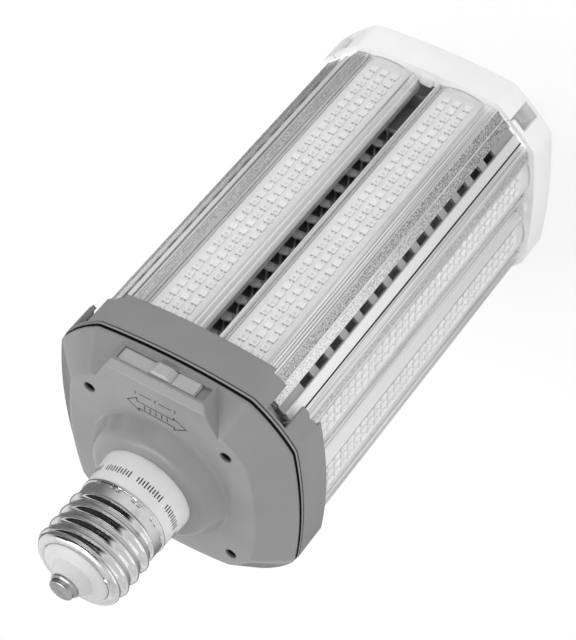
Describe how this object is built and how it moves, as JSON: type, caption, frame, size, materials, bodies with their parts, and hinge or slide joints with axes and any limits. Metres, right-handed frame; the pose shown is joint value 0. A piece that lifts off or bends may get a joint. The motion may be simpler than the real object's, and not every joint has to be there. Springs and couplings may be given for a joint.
{
  "type": "led hid replacement bulb",
  "caption": "LED lamp with a large screw base: ribbed aluminium sides with lensed LED modules, grey front cover with a sliding selector, vented corners and a white end cap.",
  "frame": {"origin": "centre of the end cap's outer face, the lamp standing on its cap with the screw base up", "axes": "+Z along the lamp's axis towards the screw base; -Y is the side with the selector; +X to its right"},
  "size_m": [0.1114, 0.1114, 0.2771],
  "materials": {
    "nickel_plate": "nickel-plated brass, rolled",
    "solder": "tinned",
    "insulator": "off-white, pressed",
    "white_plastic": "moulded, satin",
    "grey_plastic": "moulded, glossy",
    "skirt_grey": "moulded, satin",
    "aluminium": "extruded, lightly blasted",
    "white_board": "white solder mask with square chips",
    "lens_clear": "clear extruded polycarbonate",
    "core_dark": "dark, satin",
    "bracket_dark": "dark grey, satin",
    "steel": "zinc-plated",
    "slider_grey": "moulded, satin",
    "switch_black": "moulded",
    "green_board": "solder mask",
    "ferrite": "sintered, with a yellow tape winding",
    "capacitor": "sleeved can",
    "copper": "enamelled winding",
    "sleeve": "folded film",
    "lead": "insulated wire"
  },
  "bodies": {
    "lamp": {"screw_shell": "nickel_plate", "base_insulator": "insulator", "center_contact": "solder", "base_collar": "white_plastic", "front_cover": "grey_plastic", "seam_ring": "grey_plastic", "skirt": "skirt_grey", "front_plate": "aluminium", "corner_clips": "steel", "cover_screws": "steel", "selector_switch": "switch_black", "selector_board": "green_board", "heat_core": "core_dark", "driver_sleeve": "sleeve", "end_bracket": "bracket_dark", "end_cap": "white_plastic", "cap_screws": "steel", "driver_board": "green_board", "driver_transformer": "ferrite", "driver_capacitors": "capacitor", "driver_choke": "copper", "contact_lead": "lead", "shell_lead": "lead", "corner_extrusion_1": "aluminium", "corner_extrusion_2": "aluminium", "corner_extrusion_3": "aluminium", "corner_extrusion_4": "aluminium", "led_board_1": "white_board", "lens_1": "lens_clear", "led_board_2": "white_board", "lens_2": "lens_clear", "led_board_3": "white_board", "lens_3": "lens_clear", "led_board_4": "white_board", "lens_4": "lens_clear", "led_board_5": "white_board", "lens_5": "lens_clear", "led_board_6": "white_board", "lens_6": "lens_clear", "led_board_7": "white_board", "lens_7": "lens_clear", "led_board_8": "white_board", "lens_8": "lens_clear"},
    "selector": {"selector_slider": "slider_grey"}
  },
  "joints": [
    {"name": "selector_slide", "type": "slide", "parent": "lamp", "child": "selector", "axis": [-1, 0, 0], "range_m": [0, 0.004]}
  ]
}
